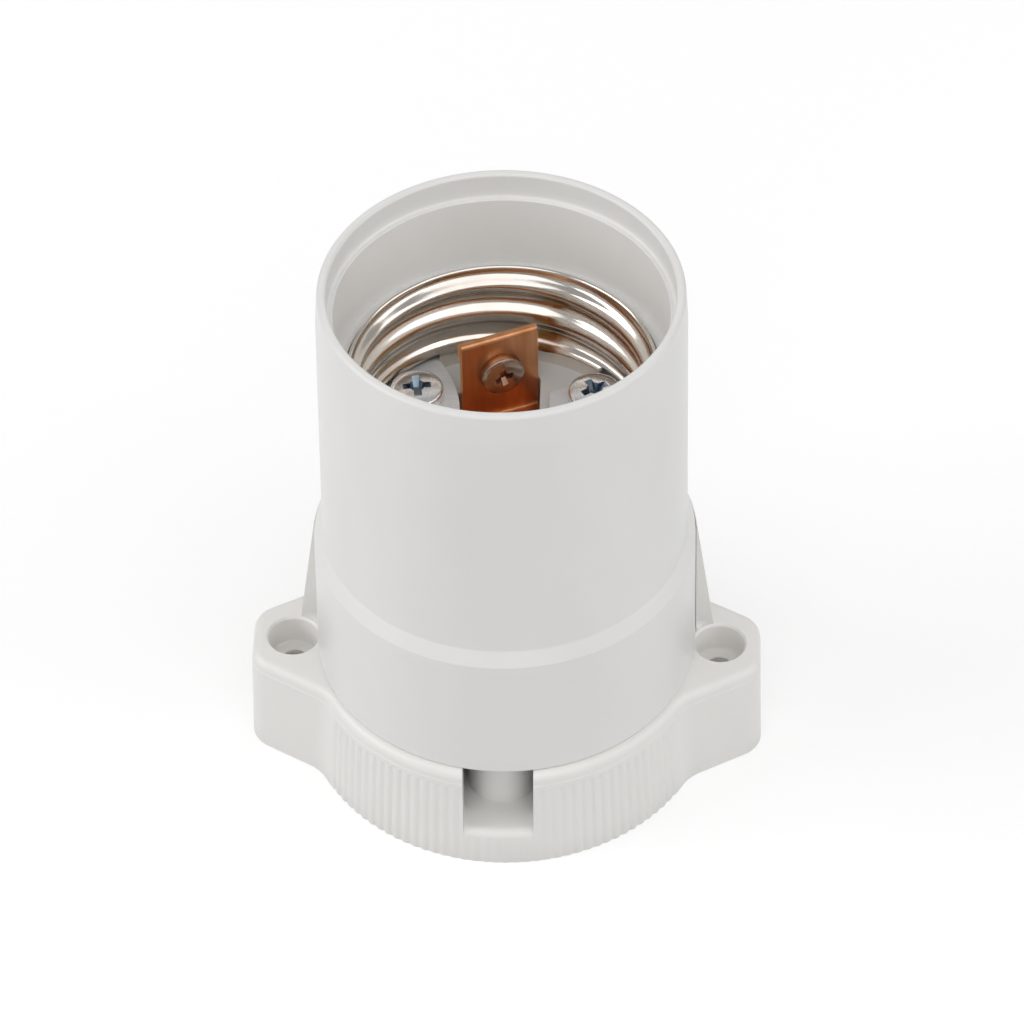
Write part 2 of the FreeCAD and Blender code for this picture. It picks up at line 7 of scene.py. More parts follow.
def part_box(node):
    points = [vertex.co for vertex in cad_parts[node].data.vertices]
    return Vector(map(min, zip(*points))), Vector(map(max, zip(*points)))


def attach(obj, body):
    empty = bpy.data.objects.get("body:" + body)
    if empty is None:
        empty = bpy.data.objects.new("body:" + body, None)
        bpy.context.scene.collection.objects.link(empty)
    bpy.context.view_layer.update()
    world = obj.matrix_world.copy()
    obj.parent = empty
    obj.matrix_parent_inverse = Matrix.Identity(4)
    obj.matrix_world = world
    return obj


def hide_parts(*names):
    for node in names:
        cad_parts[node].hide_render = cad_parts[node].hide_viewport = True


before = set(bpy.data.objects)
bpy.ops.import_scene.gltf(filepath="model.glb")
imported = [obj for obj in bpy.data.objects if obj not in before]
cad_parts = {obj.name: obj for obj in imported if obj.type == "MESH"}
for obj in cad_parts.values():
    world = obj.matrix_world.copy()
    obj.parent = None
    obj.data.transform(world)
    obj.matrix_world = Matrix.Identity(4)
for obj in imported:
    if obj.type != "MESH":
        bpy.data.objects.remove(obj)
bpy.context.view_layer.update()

# Base. One white moulding that screws to the wall: a ring wall with fine grip flutes, two
# counterbored ears, a thick floor, the cable notch in front and a thin collar that rises behind
# the barrel. Its edges are softened as they come out of the mould.
base_low, base_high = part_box("base")
ring_height = 0.0109
ring_foot_radius = -base_low.y
ring_back_extra = 0.00115
ring_draft = 0.0007
ring_wall = 0.0021
ring_top_round = 0.0008
ear_spacing = 0.040
ear_forward = 0.0007
ear_corner_radius = 0.003
ear_corner_x = base_high.x - ear_corner_radius
ear_half_width = 0.0016
ear_flare = radians(30)
ear_draft = 0.0003
ear_front_blend = 0.004
ear_back_blend = 0.0015
floor_level = 0.0039
sill_round = 0.0009
flute_pitch = radians(3.0)
flute_first = radians(11.8)
flute_last = radians(57.0)
flute_radius = 0.00042
flute_depth = 0.00013
flute_faint = 0.45
flute_top = 0.0088
flute_ledge = 0.0096
ledge_depth = 0.00003
soft_edge = 0.00015
cut_past = 0.001
cut_past_fine = 0.0002


def skin(rows, around=True, ends=True):
    """Mesh over rows of points, closed around each row and capped at both ends on request."""
    bm = bmesh.new()
    grid = [[bm.verts.new(p) for p in row] for row in rows]
    for low, high in zip(grid, grid[1:]):
        count = len(low)
        for i in range(count if around else count - 1):
            j = (i + 1) % count
            bm.faces.new((low[i], low[j], high[j], high[i]))
    if ends:
        bm.faces.new(list(reversed(grid[0])))
        bm.faces.new(grid[-1])
    return bm


def make_piece(name, bm):
    """Scene object from a finished bmesh, with its faces turned outward."""
    bmesh.ops.remove_doubles(bm, verts=bm.verts, dist=1e-7)
    bmesh.ops.recalc_face_normals(bm, faces=bm.faces)
    mesh = bpy.data.meshes.new(name)
    bm.to_mesh(mesh)
    bm.free()
    piece = bpy.data.objects.new(name, mesh)
    bpy.context.scene.collection.objects.link(piece)
    return piece


def settle(piece):
    """Fixes what the modifiers of a piece give as its own mesh."""
    graph = bpy.context.evaluated_depsgraph_get()
    mesh = bpy.data.meshes.new_from_object(piece.evaluated_get(graph))
    piece.modifiers.clear()
    piece.data = mesh


def join_solid(piece, tool, way="DIFFERENCE"):
    """Cuts, joins or meets a piece with a tool solid, which is then gone."""
    step = piece.modifiers.new("solid", "BOOLEAN")
    step.operation = way
    step.solver = "EXACT"
    step.object = tool
    settle(piece)
    bpy.data.objects.remove(tool)


def soften(piece, width, angle=40):
    """Rounds the sharp edges a little and shades the rest smooth."""
    if width:
        step = piece.modifiers.new("soft edges", "BEVEL")
        step.width = width
        step.segments = 2
        step.limit_method = "ANGLE"
        step.angle_limit = radians(angle)
        step.use_clamp_overlap = True
        settle(piece)
    piece.data.shade_smooth()
    piece.data.set_sharp_from_angle(angle=radians(angle))
    normals = piece.modifiers.new("flat faces stay flat", "WEIGHTED_NORMAL")
    normals.keep_sharp = True
    settle(piece)


def rounded_profile(corners, steps=5):
    """Closed outline from (radius, height, rounding) corners, each rounding as an arc."""
    outline = []
    count = len(corners)
    for i, (x, z, rounding) in enumerate(corners):
        here = Vector((x, z))
        before = Vector(corners[i - 1][:2])
        after = Vector(corners[(i + 1) % count][:2])
        into, out = (before - here).normalized(), (after - here).normalized()
        half = into.angle(out) / 2
        if rounding == 0 or half > radians(89):
            outline.append((x, z))
            continue
        centre = here + (into + out).normalized() * (rounding / sin(half))
        start = here + into * (rounding / tan(half)) - centre
        turn = start.angle_signed(here + out * (rounding / tan(half)) - centre)
        for k in range(steps + 1):
            spot = centre + Matrix.Rotation(-turn * k / steps, 2) @ start
            outline.append((spot.x, spot.y))
    return outline


def turned_solid(outline, steps=192, start=0.0, sweep=2 * pi, centre=(0, 0)):
    """Solid turned about an upright axis from a closed (radius, height) outline."""
    whole = sweep > 2 * pi - 1e-6
    count = steps if whole else steps + 1
    rows = []
    for i in range(count):
        angle = start + sweep * i / steps
        rows.append([(centre[0] + max(r, 0) * cos(angle), centre[1] + max(r, 0) * sin(angle), z)
                     for r, z in outline])
    if whole:
        rows.append(rows[0])
    return skin(rows, ends=not whole)


def box_solid(x0, x1, y0, y1, z0, z1):
    low = [(x0, y0, z0), (x1, y0, z0), (x1, y1, z0), (x0, y1, z0)]
    high = [(x, y, z1) for x, y, _ in low]
    return skin([low, high])


def arc_points(centre, radius, start, end, count):
    return [(centre[0] + radius * cos(start + (end - start) * k / count),
             centre[1] + radius * sin(start + (end - start) * k / count)) for k in range(count)]


def ear_side(ring, corner, blend, side):
    """Points up one side of the right ear: concave blend, straight flare, rounded corner."""
    middle = Vector((ear_corner_x, side * ear_half_width - ear_forward))
    out = Vector((sin(ear_flare), side * cos(ear_flare)))
    inward = Vector((-cos(ear_flare), side * sin(ear_flare)))
    start = middle + out * (corner + blend)
    along = start.dot(inward)
    reach = -along - sqrt(along**2 - start.length_squared + (ring + blend)**2)
    centre = start + inward * reach
    ring_angle = atan2(centre.y, centre.x)
    line_angle = side * (pi / 2 - ear_flare)
    points = arc_points(centre, blend, ring_angle + side * pi, line_angle + side * pi, 14)
    foot, knee = centre - out * blend, middle + out * corner
    points += [tuple(foot.lerp(knee, k / 8)) for k in range(8)]
    points += arc_points(middle, corner, line_angle, 0, 16)
    points.append((middle.x + corner, middle.y))
    return ring_angle, points


def base_outline(inset, share):
    """Outline of ring and ears at a share of the height, moved inward by inset."""
    front = ring_foot_radius - ring_draft * share - inset
    back = front + ring_back_extra
    corner = ear_corner_radius - ear_draft * share - inset
    low, low_side = ear_side(front, corner, ear_front_blend + inset, -1)
    high, high_side = ear_side(back, corner, ear_back_blend + inset, 1)
    right = low_side + high_side[::-1]
    left = [(-x, y) for x, y in reversed(right)]
    whole = arc_points((0, 0), front, -pi - low, low, 600) + right
    return whole + arc_points((0, 0), back, high, pi - high, 60)[1:] + left[:-1]


def flute_hollow(x, y, z):
    """Depth of the grip flutes at a point of the front wall."""
    off_front = abs(atan2(x, -y))
    number = round((off_front - flute_first) / flute_pitch)
    centre = flute_first + flute_pitch * number
    if centre > flute_last or (number < 0 and z > floor_level - sill_round):
        return 0.0
    across = (off_front - centre) * hypot(x, y)
    beyond = max(0.0, z - flute_top)
    away = min(1.0, hypot(across, beyond) / flute_radius)
    share = min(1.0, max(0.0, off_front - flute_first) / radians(22))
    return flute_depth * (flute_faint + (1 - flute_faint) * share) * (1 + cos(pi * away)) / 2


def base_rows():
    """Outlines from the foot's small rounding up the drafted wall and over the top rounding."""
    levels = [(0.0, soft_edge), (soft_edge * 0.3, soft_edge * 0.3), (soft_edge, 0.0)]
    wall_top = ring_height - ring_top_round
    levels += [(soft_edge + (flute_top - soft_edge) * k / 4, 0.0) for k in range(1, 5)]
    levels += [(flute_top + flute_radius * k / 5, 0.0) for k in range(1, 6)]
    levels += [(flute_ledge, 0.0), (flute_ledge + 0.2 * ledge_depth, 0.2 * ledge_depth)]
    levels += [(flute_ledge + ledge_depth, ledge_depth), (wall_top, ledge_depth)]
    for k in range(1, 9):
        turn = pi / 2 * k / 8
        levels.append((wall_top + ring_top_round * sin(turn),
                       ledge_depth + ring_top_round * (1 - cos(turn))))
    rows = []
    for z, inset in levels:
        row = []
        for x, y in base_outline(inset, z / ring_height):
            shrink = 1 - flute_hollow(x, y, z) / hypot(x, y)
            row.append((x * shrink, y * shrink, z))
        rows.append(row)
    return rows


base = make_piece("base_moulding", skin(base_rows()))
ring_bore_radius = ring_foot_radius - ring_draft - ring_wall
skirt_foot_radius = 0.01769
skirt_top_radius = 0.01753
collar_top = base_high.z
collar_clearance = 0.0001
collar_start = radians(4.2)
collar_wall = 0.0017
collar_rim = 0.0001
collar_rim_round = 0.00003
collar_foot = skirt_foot_radius + collar_clearance
collar_foot_outer = collar_foot + collar_wall
collar_root = ring_height - 2 * ring_top_round
collar_edge = skirt_top_radius + collar_clearance
collar = make_piece("collar", turned_solid(rounded_profile([
    (collar_foot, collar_root, 0),
    (collar_foot_outer, collar_root, 0),
    (collar_foot_outer, ring_height, 0),
    (collar_edge + collar_rim, collar_top, collar_rim_round),
    (collar_edge, collar_top, collar_rim_round),
    (collar_foot, ring_height, 0),
]), 96, collar_start, pi - 2 * collar_start))
join_solid(base, collar, "UNION")
cove_radius = 0.0009
ring_bore_round = 0.0005
for side in (-1, 1):
    cove = [(0, ring_height - ring_top_round), (cove_radius, ring_height - ring_top_round)]
    cove += arc_points((cove_radius, ring_height + cove_radius), cove_radius, 1.5 * pi, pi, 10)
    cove.append((0, ring_height + cove_radius))
    rows = []
    for r in (collar_foot, collar_foot_outer):
        rows.append([(side * (r * cos(collar_start) + t * sin(collar_start)),
                      r * sin(collar_start) - t * cos(collar_start), z) for t, z in cove])
    join_solid(base, make_piece("collar cove", skin(rows)), "UNION")
ring_bore = turned_solid(rounded_profile([
    (0, floor_level, 0), (ring_bore_radius, floor_level, ring_bore_round),
    (ring_bore_radius, ring_height, 0),
    (ring_bore_radius + cut_past_fine, ring_height + cut_past_fine, 0),
    (0, ring_height + cut_past_fine, 0)]))
join_solid(base, make_piece("ring bore", ring_bore))
notch_left, notch_right = -0.00345, 0.00305
notch_inward = 0.002
join_solid(base, make_piece("notch", box_solid(
    notch_left, notch_right, -2 * ring_foot_radius, -ring_bore_radius + notch_inward,
    floor_level, 2 * ring_height)))
sill_foot = floor_level - sill_round
sill_radius = ring_foot_radius - ring_draft * sill_foot / ring_height
sill_low, sill_high = asin(notch_left / sill_radius), asin(notch_right / sill_radius)
sill = [(sill_radius - sill_round, floor_level + cut_past_fine)]
sill += arc_points((sill_radius - sill_round, sill_foot), sill_round, pi / 2, 0, 8)
sill += [(sill_radius, sill_foot), (sill_radius + cut_past, sill_foot),
         (sill_radius + cut_past, floor_level + cut_past_fine)]
join_solid(base, make_piece("sill edge", turned_solid(
    sill, 24, sill_low - pi / 2, sill_high - sill_low)))

ear_hole_radius = 0.0012
ear_head_radius = 0.002325
ear_head_depth = 0.0032
ear_head_level = ring_height - ear_head_depth
ear_head_chamfer = 0.0002
for side in (-1, 1):
    hole = turned_solid(rounded_profile([
        (0, -cut_past, 0),
        (ear_hole_radius, -cut_past, 0),
        (ear_hole_radius, ear_head_level, 0.0001),
        (ear_head_radius, ear_head_level, 0.0002),
        (ear_head_radius, ring_height - ear_head_chamfer, 0.0003),
        (ear_head_radius + ear_head_chamfer, ring_height, 0),
        (ear_head_radius + ear_head_chamfer, ring_height + cut_past, 0),
        (0, ring_height + cut_past, 0),
    ]), 64, centre=(side * ear_spacing / 2, -ear_forward))
    join_solid(base, make_piece("ear hole", hole))

boss_radius = 0.0033
boss_setback = 0.00125
boss_circle = ring_bore_radius - boss_radius - boss_setback
boss_top = 0.012
body_screw_hole_radius = 0.00165
head_pocket_radius = 0.0031
head_pocket_depth = 0.0023
for side in (-1, 1):
    place = (0, side * boss_circle)
    boss = turned_solid(rounded_profile([
        (0, head_pocket_depth, 0), (boss_radius, head_pocket_depth, 0),
        (boss_radius, boss_top, 0.0003), (0, boss_top, 0)]), 64, centre=place)
    join_solid(base, make_piece("boss", boss), "UNION")
    pocket = turned_solid([
        (0, -cut_past), (head_pocket_radius, -cut_past), (head_pocket_radius, head_pocket_depth),
        (body_screw_hole_radius, head_pocket_depth), (body_screw_hole_radius, 2 * boss_top),
        (0, 2 * boss_top)], 64, centre=place)
    join_solid(base, make_piece("pocket", pocket))
soften(base, 0.0001)


def node_tree(name):
    """New material with an empty shader tree but for its surface shader and output."""
    material = bpy.data.materials.new(name)
    material.use_nodes = True
    tree = material.node_tree
    return material, tree, tree.nodes["Principled BSDF"]


def noise(tree, scale, detail=3.0, stretch=(1, 1, 1)):
    """Noise on the object's own coordinates, stretched along its axes on request."""
    place = tree.nodes.new("ShaderNodeTexCoord")
    bend = tree.nodes.new("ShaderNodeMapping")
    bend.inputs["Scale"].default_value = stretch
    texture = tree.nodes.new("ShaderNodeTexNoise")
    texture.inputs["Scale"].default_value = scale
    texture.inputs["Detail"].default_value = detail
    tree.links.new(place.outputs["Object"], bend.inputs["Vector"])
    tree.links.new(bend.outputs["Vector"], texture.inputs["Vector"])
    return texture.outputs["Fac"]


def ramp(tree, source, low, high, start=0.3, end=0.7):
    """Colour that runs from low to high as the source runs from start to end."""
    blend = tree.nodes.new("ShaderNodeValToRGB")
    blend.color_ramp.elements[0].position = start
    blend.color_ramp.elements[1].position = end
    blend.color_ramp.elements[0].color = (*low, 1)
    blend.color_ramp.elements[1].color = (*high, 1)
    tree.links.new(source, blend.inputs["Fac"])
    return blend.outputs["Color"]


def white_plastic(name, light, dark):
    """Moulded white plastic: satin gloss with faint flow marks in its colour."""
    material, tree, shader = node_tree(name)
    colour = ramp(tree, noise(tree, 140, 2, (1, 1, 0.4)), dark, light)
    tree.links.new(colour, shader.inputs["Base Color"])
    shader.inputs["Roughness"].default_value = 0.3
    return material


base.data.materials.clear()
base.data.materials.append(white_plastic(
    "white base moulding", (0.885, 0.872, 0.848), (0.86, 0.846, 0.82)))
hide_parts("base")
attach(base, "root")

# Barrel. The second white moulding stands on the ring and is held by two screws from below. It
# has a plain mouth with a thin lip, a small cone-shaped step above the skirt, and inside the well
# the contact floor with its window, a post for the live contact and pads for the side plates.
barrel_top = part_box("barrel")[1].z
mouth_radius = 0.01625
mouth_cone_height = 0.0032
mouth_cone_radius = 0.01645
lip_inner_radius = 0.0154
lip_depth = 0.0026
step_level = 0.026
step_foot = 0.0246
body_step_radius = 0.01676
skirt_wall = 0.0018
bore_radius = 0.0149
contact_floor = 0.0345
floor_under = 0.0307
shell_low, shell_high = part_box("screw_shell")
shell_rim_height = 0.0006
pocket_top = shell_high.z - shell_rim_height
pocket_radius = 0.0142
chamber_radius = 0.0147
barrel = make_piece("barrel_moulding", turned_solid(rounded_profile([
    (0, floor_under, 0),
    (chamber_radius, floor_under, 0),
    (chamber_radius, step_level, 0.001),
    (skirt_top_radius - skirt_wall, step_foot - skirt_wall, 0.001),
    (skirt_foot_radius - skirt_wall, ring_height, 0.0002),
    (skirt_foot_radius, ring_height, 0.00035),
    (skirt_top_radius, step_foot, 0.00025),
    (body_step_radius, step_level, 0.0004),
    (mouth_cone_radius, barrel_top - mouth_cone_height, 0.0015),
    (mouth_radius, barrel_top, 0.0004),
    (lip_inner_radius, barrel_top, 0.0003),
    (lip_inner_radius, barrel_top - lip_depth, 0.00025),
    (bore_radius, barrel_top - lip_depth, 0.0001),
    (bore_radius, pocket_top, 0),
    (pocket_radius, pocket_top, 0),
    (pocket_radius, contact_floor, 0.0002),
    (0, contact_floor, 0),
]), 256))

contact_turn = radians(24)
contact_offset = 0.00274
contact_face = 0.0076
contact_width = 0.0076
contact_sheet = 0.0004
terminal_sheet = 0.0008
contact_back = contact_face + contact_sheet
live_leg_back = contact_back + terminal_sheet
tongue_width = 0.004
bend_radius = 0.0005
knee_reach = 0.0046
window_margin = 0.0002
window_reach = 0.0066


def turned_piece(name, bm):
    """Piece drawn square to the contact strip, turned to its place in the holder."""
    bmesh.ops.rotate(bm, verts=bm.verts, cent=(0, 0, 0),
                     matrix=Matrix.Rotation(contact_turn, 3, "Z"))
    return make_piece(name, bm)


def upright_solid(plan, low, high):
    return skin([[(x, y, low) for x, y in plan], [(x, y, high) for x, y in plan]])


def disc_solid(radius, low, high, place, steps=32):
    return turned_solid([(0, low), (radius, low), (radius, high), (0, high)], steps, centre=place)


wide, narrow = contact_width / 2 + window_margin, tongue_width / 2 + window_margin
skew = knee_reach * tan(contact_turn)
knee_front = contact_face - knee_reach
window_front = contact_back - window_reach
for plan in (((wide, live_leg_back), (-wide, live_leg_back), (-wide, contact_face),
              (-wide - skew, knee_front), (wide - skew, knee_front), (wide, contact_face)),
             ((narrow, live_leg_back), (-narrow, live_leg_back), (-narrow, window_front),
              (narrow, window_front))):
    join_solid(barrel, turned_piece("window", upright_solid(
        [(contact_offset + x, y) for x, y in plan], floor_under - 0.0001, contact_floor + 0.0001)))
post_inset = 0.0009
post_half = contact_width / 2 - post_inset
post_top = 0.0392
post_thickness = 0.0012
floor_overlap = 0.0002
join_solid(barrel, turned_piece("post", box_solid(
    contact_offset - post_half, contact_offset + post_half, live_leg_back,
    live_leg_back + post_thickness, contact_floor - floor_overlap, post_top)), "UNION")
side_screw_x = 0.0081
side_screw_y = 0.0059
pad_radius = 0.0025
foot_ring = 0.0003
side_hole_radius = 0.0016
side_hole_low, side_hole_high = 0.02, 0.04
for side in (-1, 1):
    place = (side * side_screw_x, side_screw_y)
    pad = disc_solid(pad_radius, contact_floor - floor_overlap, contact_floor + foot_ring,
                     place, 48)
    join_solid(barrel, make_piece("pad", pad), "UNION")
    hole = disc_solid(side_hole_radius, side_hole_low, side_hole_high, place)
    join_solid(barrel, make_piece("side hole", hole))
boss_overlap = 0.0005
pilot_radius = 0.0015
pilot_top = 0.0215
for side in (-1, 1):
    place = (0, side * boss_circle)
    boss = turned_solid(rounded_profile([
        (0, boss_top, 0), (boss_radius, boss_top, 0.0003),
        (boss_radius, floor_under + boss_overlap, 0), (0, floor_under + boss_overlap, 0)]),
        64, centre=place)
    join_solid(barrel, make_piece("long boss", boss), "UNION")
    join_solid(barrel, make_piece("pilot", disc_solid(pilot_radius, 0, pilot_top, place)))
soften(barrel, 0.0001)
barrel.data.materials.clear()
barrel.data.materials.append(white_plastic(
    "white barrel moulding", (0.845, 0.838, 0.822), (0.82, 0.812, 0.794)))
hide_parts("barrel")
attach(barrel, "root")

# Screw shell. Nickel-plated brass sheet rolled into the rounded right-handed lamp thread, with a
# plain rim above and a plain foot below. The foot has a slot on each side for the side plates,
# which press on the ring that is left under them.
shell_sheet = 0.00035
shell_edge = 0.00015
shell_height = shell_high.z - shell_low.z
thread_pitch = 0.00363
thread_root = 0.0136
thread_depth = 0.0009
knuckle_radius = (thread_pitch**2 / 4 + thread_depth**2) / (4 * thread_depth)
thread_crest = 0.00135
thread_fade = 0.0009
shell_foot_radius = 0.0126
shell_foot_height = 0.0012


def smooth_step(share):
    share = min(1.0, max(0.0, share))
    return share**2 * (3 - 2 * share)


def knuckle(turn):
    """Height of the rolled thread's round profile, 1 on its crest and 0 in its root."""
    away = abs(turn - round(turn)) * thread_pitch
    if away < thread_pitch / 4:
        return 1 - (knuckle_radius - sqrt(knuckle_radius**2 - away**2)) / thread_depth
    away = thread_pitch / 2 - away
    return (knuckle_radius - sqrt(knuckle_radius**2 - away**2)) / thread_depth


def shell_radius(angle, z):
    """Inner radius of the shell at an angle and a height above its foot."""
    turn = (z - thread_crest) / thread_pitch - (angle - pi / 2) / (2 * pi)
    wave = smooth_step((shell_height - shell_rim_height - z) / thread_fade)
    thread = thread_root - wave * thread_depth * knuckle(turn)
    foot = smooth_step((z - shell_foot_height) / thread_fade)
    return shell_foot_radius + (thread - shell_foot_radius) * foot


def shell_rows():
    """Rows of points up the inner wall and down the outer one."""
    columns, levels = 288, 104
    inner, outer = [], []
    for k in range(levels + 1):
        z = (shell_height - shell_edge) * k / levels
        for rows, offset in ((inner, 0.0), (outer, shell_sheet)):
            row = []
            for i in range(columns):
                angle = 2 * pi * i / columns
                r = shell_radius(angle, z) + offset
                row.append((r * cos(angle), r * sin(angle), contact_floor + z))
            rows.append(row)
    rim = []
    for share, rise in ((0.15, 0.6), (0.5, 1.0), (0.85, 0.6)):
        r = thread_root + shell_sheet * share
        z = shell_high.z - shell_edge * (1 - rise)
        rim.append([(r * cos(2 * pi * i / columns), r * sin(2 * pi * i / columns), z)
                    for i in range(columns)])
    return inner + rim + outer[::-1] + inner[:1]


shell = make_piece("threaded_shell", skin(shell_rows(), ends=False))
plate_under = contact_floor + foot_ring
plate_thickness = 0.0006
plate_top = plate_under + plate_thickness
plate_reach = 0.0133
plate_front = 0.0033
slot_top = plate_top + 0.0009
slot_gap = 0.0004
left_plate_inner = 0.00415
left_plate_bow = 0.00073
left_plate_angle = radians(119.5)
right_plate_inner = 0.00395
right_plate_back = 0.0071


def plate_plan(side, gap, reach):
    """Plan of a side plate, with its round outer edge at reach and a gap front and back."""
    front = plate_front - gap
    if side < 0:
        start = Vector((-left_plate_inner, front))
        corner = Vector((reach * cos(left_plate_angle), reach * sin(left_plate_angle) + gap))
        across = Vector((corner.y - start.y, start.x - corner.x)).normalized()
        plan = []
        for k in range(13):
            t = k / 12
            plan.append(start.lerp(corner, t) + across * left_plate_bow * 4 * t * (1 - t))
        first = atan2(corner.y, corner.x)
        last = pi - atan2(front, sqrt(reach**2 - front**2))
    else:
        slope = tan(contact_turn)
        back = right_plate_back + gap
        plan = [Vector((right_plate_inner, back)), Vector((right_plate_inner, front))]
        first = last = atan2(front, sqrt(reach**2 - front**2))
        while reach * sin(last) < back + (reach * cos(last) - right_plate_inner) * slope:
            last += radians(0.5)
    for k in range(25):
        angle = first + (last - first) * k / 24
        plan.append(Vector((reach * cos(angle), reach * sin(angle))))
    return [(p.x, p.y) for p in plan]


for side in (-1, 1):
    join_solid(shell, make_piece("slot", upright_solid(
        plate_plan(side, slot_gap, 1.3 * plate_reach), plate_under, slot_top)))
soften(shell, 0, 50)


def spread(tree, source, low, high):
    """Number that runs from low to high with the source."""
    step = tree.nodes.new("ShaderNodeMapRange")
    step.inputs["To Min"].default_value = low
    step.inputs["To Max"].default_value = high
    tree.links.new(source, step.inputs["Value"])
    return step.outputs["Result"]


def bump(tree, source, distance, strength=1.0):
    relief = tree.nodes.new("ShaderNodeBump")
    relief.inputs["Distance"].default_value = distance
    relief.inputs["Strength"].default_value = strength
    tree.links.new(source, relief.inputs["Height"])
    return relief.outputs["Normal"]


def nickel():
    """Bright nickel plate over drawn sheet: fine drawing lines round the shell and a warm tone."""
    material, tree, shader = node_tree("nickel plated sheet")
    colour = ramp(tree, noise(tree, 220, 4), (0.76, 0.7, 0.635), (0.87, 0.82, 0.765))
    tree.links.new(colour, shader.inputs["Base Color"])
    shader.inputs["Metallic"].default_value = 1.0
    lines = noise(tree, 700, 3, (1, 1, 8))
    tree.links.new(spread(tree, lines, 0.1, 0.2), shader.inputs["Roughness"])
    relief = bump(tree, noise(tree, 900, 2, (1, 1, 10)), 0.000006, 0.5)
    tree.links.new(relief, shader.inputs["Normal"])
    return material


shell.data.materials.clear()
shell.data.materials.append(nickel())
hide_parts("screw_shell")
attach(shell, "root")

# Side plates with their washers. Each plate is a blanked piece of zinc-plated steel on a moulded
# pad; it reaches through the shell's slot, and the side screw presses it on the shell's foot. The
# washer lies between the plate and the screw's head.
plate_hole_low = 0.03
washer_radius = 0.0025
washer_thickness = 0.0003


def plated(name, dark, light, gloss, grain=(1, 1, 1), metal=1.0):
    """Plated steel: cloudy colour between two tones, with a fine grain in one direction."""
    material, tree, shader = node_tree(name)
    colour = ramp(tree, noise(tree, 420, 4, grain), dark, light)
    tree.links.new(colour, shader.inputs["Base Color"])
    shader.inputs["Metallic"].default_value = metal
    tree.links.new(spread(tree, noise(tree, 1200, 3, grain), *gloss), shader.inputs["Roughness"])
    tree.links.new(bump(tree, noise(tree, 2200, 3, grain), 0.00001, 0.7), shader.inputs["Normal"])
    return material


plate_finish = plated("zinc plated plate", (0.86, 0.865, 0.875), (0.95, 0.95, 0.955),
                      (0.4, 0.55), (0.5, 8, 1), 0.15)
for side, name in ((-1, "left"), (1, "right")):
    plate = make_piece(f"{name}_plate", upright_solid(
        plate_plan(side, 0, plate_reach), plate_under, plate_top))
    place = (side * side_screw_x, side_screw_y)
    hole = disc_solid(side_hole_radius, plate_hole_low, side_hole_high, place, 48)
    join_solid(plate, make_piece("plate hole", hole))
    soften(plate, 0.00008)
    plate.data.materials.clear()
    plate.data.materials.append(plate_finish)
    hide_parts(f"{name}_shell_plate")
    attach(plate, "root")
    washer = make_piece(f"{name}_washer", turned_solid(rounded_profile([
        (side_hole_radius, plate_top, 0), (washer_radius, plate_top, 0.00006),
        (washer_radius, plate_top + washer_thickness, 0.00012),
        (side_hole_radius, plate_top + washer_thickness, 0.00005)], 3), 72, centre=place))
    soften(washer, 0)
    washer.data.materials.append(plate_finish)
    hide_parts(f"{name}_screw_washer")
    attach(washer, "root")

# Screws with a cross recess. The two side screws and the smaller one in the centre contact are
# cold-headed steel: a low dome with a rounded rim, and a recess whose four flanks lean inward
# and end in a flat floor.
screw_seat = plate_top + washer_thickness
screw_radius = 0.0015
head_radius = 0.0024
head_height = 0.0015


def screw_solid(name, radius, length, head, height, arm_share=0.56):
    """Pan-head screw with its seat at the origin and its head along +Z."""
    crown = 0.72 * height
    above = height + 0.0003
    dome = [(head * sin(a), crown + (height - crown) * cos(a)) for a in
            [radians(90 - 10 * k) for k in range(10)]]
    outline = [(0, -length), (radius * 0.8, -length), (radius, -length + radius * 0.25),
               (radius, 0), (head * 0.97, 0), (head, height * 0.08)]
    outline += dome
    screw = make_piece(name, turned_solid(outline, 96))
    arm, thick, deep = head * arm_share, head * 0.15, height * 0.6
    for turn in (0, pi / 2):
        rows = []
        for level, size, width in ((above, arm * 1.12, thick * 1.15), (height, arm, thick),
                                   (height - deep, arm * 0.5, thick * 0.7)):
            rows.append([(x * size * cos(turn) - y * width * sin(turn),
                          x * size * sin(turn) + y * width * cos(turn), level)
                         for x, y in ((-1, -1), (1, -1), (1, 1), (-1, 1))])
        join_solid(screw, make_piece("recess", skin(rows)))
    core = turned_solid([(0, height - deep), (head * 0.2, height - deep), (head * 0.34, above),
                         (0, above)], 24)
    join_solid(screw, make_piece("recess core", core))
    soften(screw, 0.00006, 35)
    # Faces inside the recess take the second material, a darker colour painted as the shade in the
    # recess.
    for face in screw.data.polygons:
        r = hypot(face.center.x, face.center.y)
        surface = crown + (height - crown) * sqrt(max(0.0, 1 - (r / head)**2))
        if r < 0.75 * head and crown * 0.2 < face.center.z < surface - 0.03 * head:
            face.material_index = 1
    return screw


def place_screw(screw, place, direction, spin, finish, painted_recess_shade, node):
    """Sets a screw on its seat, facing along direction and spun about its axis."""
    aim = Vector(direction).to_track_quat("Z", "Y").to_matrix().to_4x4()
    screw.data.transform(Matrix.Translation(place) @ aim @ Matrix.Rotation(spin, 4, "Z"))
    screw.data.materials.append(finish)
    screw.data.materials.append(painted_recess_shade)
    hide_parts(node)
    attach(screw, "root")


screw_finish = plated("zinc plated screw", (0.84, 0.85, 0.87), (0.96, 0.96, 0.97), (0.2, 0.32))
# The side screws' recess is a dark bluish copy of their zinc plate, painted as the shade in the
# recess.
painted_recess_shade = plated("painted shade in side screw recess", (0.16, 0.22, 0.28), (0.36, 0.44, 0.5),
                       (0.2, 0.34))
for side, name, spin in ((-1, "left", 8), (1, "right", 33)):
    length = screw_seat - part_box(f"{name}_shell_screw")[0].z
    screw = screw_solid(f"{name}_side_screw", screw_radius, length, head_radius, head_height)
    place_screw(screw, (side * side_screw_x, side_screw_y, screw_seat), (0, 0, 1), radians(spin),
                screw_finish, painted_recess_shade, f"{name}_shell_screw")

